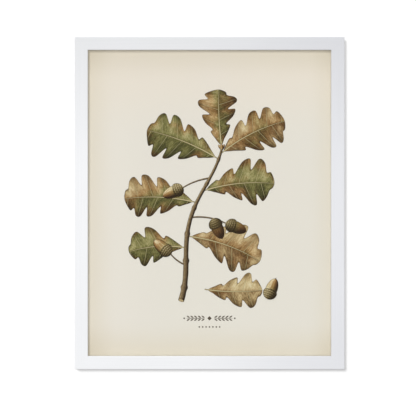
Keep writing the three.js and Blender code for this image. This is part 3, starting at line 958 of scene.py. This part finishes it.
def clear_polyurethane():
    """Slightly cloudy clear rubber with a satin skin that has picked up a little dust."""
    f = Finish("clear_polyurethane")
    dust = f.noise(f.place(), 800.0, 3.0, 0.7)
    return f.done(
        Base_Color=f.ramp(dust, (0.35, shade(246, 248, 247)), (0.7, shade(234, 235, 231))),
        Roughness=dust.rise(0.3, 0.7, 0.10, 0.26),
        IOR=1.47,
        Transmission_Weight=0.92,
    )


bumper_finish = clear_polyurethane()
for side in ("left", "right"):
    dress(f"bumper_{side}", bumper_finish)


# ---- Stage ----
# A plain white wall, which only the camera sees and only from its front, a pale floor well below, even
# white light all round and soft lamps. One lamp lights the wall alone and draws the frame's shadow on it.


def panel(name, corners, material):
    """One flat sheet with these corners."""
    mesh = bpy.data.meshes.new(name)
    mesh.from_pydata(corners, [], [(0, 1, 2, 3)])
    piece = new_object(name, mesh, material)
    return piece


def pale_floor():
    f = Finish("pale_floor")
    return f.done(Base_Color=shade(238, 238, 237), Roughness=0.9)


def white_wall():
    """Mostly self-lit white, with a share of it left to the wall lamp; clear when seen from behind."""
    f = Finish("white_wall")
    lit = f.node("ShaderNodeBsdfDiffuse", None, {"Color": (0.12, 0.12, 0.12, 1.0)})
    glow = f.node("ShaderNodeEmission", None, {"Strength": 0.50})
    face = f.node("ShaderNodeAddShader", None, {0: lit, 1: glow})
    clear = f.node("ShaderNodeBsdfTransparent")
    behind = f.node("ShaderNodeNewGeometry", output="Backfacing")
    return f.done(f.node("ShaderNodeMixShader", None, {0: behind, 1: face, 2: clear}))


floor_z, wall_y, wall_top = -1.1, 0.0005, 2
floor_corners = [(-4, -4, floor_z), (4, -4, floor_z), (4, 4, floor_z), (-4, 4, floor_z)]
floor = panel("floor", floor_corners, pale_floor())
floor.visible_diffuse = floor.visible_glossy = False
wall_corners = [(-3, wall_y, floor_z), (3, wall_y, floor_z), (3, wall_y, wall_top), (-3, wall_y, wall_top)]
wall = panel("wall", wall_corners, white_wall())
wall.visible_diffuse = wall.visible_glossy = wall.visible_transmission = wall.visible_shadow = False


def studio_white():
    """White to the camera, and a quarter of that as light on everything else."""
    world = bpy.data.worlds.new("studio_white")
    bpy.context.scene.world = world
    world.use_nodes = True
    nodes, links = world.node_tree.nodes, world.node_tree.links
    ray = nodes.new("ShaderNodeLightPath")
    strength = nodes.new("ShaderNodeMapRange")
    strength.inputs["To Min"].default_value = 0.25
    strength.inputs["To Max"].default_value = 1.0
    links.new(ray.outputs["Is Camera Ray"], strength.inputs["Value"])
    links.new(strength.outputs["Result"], nodes["Background"].inputs["Strength"])
    nodes["Background"].inputs["Color"].default_value = (1.0, 1.0, 1.0, 1.0)


studio_white()


def soft_lamp(name, towards, share, spread):
    """Even light from a far large lamp that stands in the direction towards and shows as a disc of spread
    degrees. share is how bright it alone makes a white surface that faces it."""
    sun = bpy.data.lights.new(name, "SUN")
    sun.energy = share * math.pi
    sun.angle = math.radians(spread)
    lamp = new_object(name, sun)
    x, y, z = towards
    lamp.rotation_euler = (math.atan2(math.hypot(x, y), z), 0.0, math.atan2(x, -y))
    return lamp


soft_lamp("key_lamp", (-0.42, -1.0, 0.53), 0.35, 15)
soft_lamp("front_lamp", (0.0, -1.0, 0.0), 0.42, 15).visible_glossy = False
soft_lamp("top_lamp", (0.0, -0.05, 1.0), 0.55, 30)
soft_lamp("rear_left_lamp", (-0.87, 0.5, 0.3), 0.6, 30)
soft_lamp("rear_right_lamp", (0.87, 0.5, 0.3), 0.6, 30)
wall_lamp = soft_lamp("wall_lamp", (-0.28, -1.0, 0.28), 3.85, 15)
lit_by_wall_lamp = bpy.data.collections.new("lit_by_wall_lamp")
lit_by_wall_lamp.objects.link(wall)
wall_lamp.light_linking.receiver_collection = lit_by_wall_lamp

# The camera looks straight at the front, which spans 270 of the picture's 416 pixels, 1.5 pixels right of
# the picture's middle and 1.5 below it.
image_width, metres_per_pixel, off_middle = 416, 0.0016175, 1.5
lens, sensor_width = 135.0, 36.0
distance = lens * image_width * metres_per_pixel / sensor_width
camera = bpy.data.cameras.new("camera")
camera.lens = lens
camera.sensor_width = sensor_width
eye = new_object("camera", camera)
eye.location = (
    frame_middle[0] - off_middle * metres_per_pixel,
    frame_low[1] - distance,
    frame_middle[2] + off_middle * metres_per_pixel,
)
eye.rotation_euler = (math.pi / 2, 0.0, 0.0)
bpy.context.scene.camera = eye
bpy.context.scene.view_settings.view_transform = "Standard"
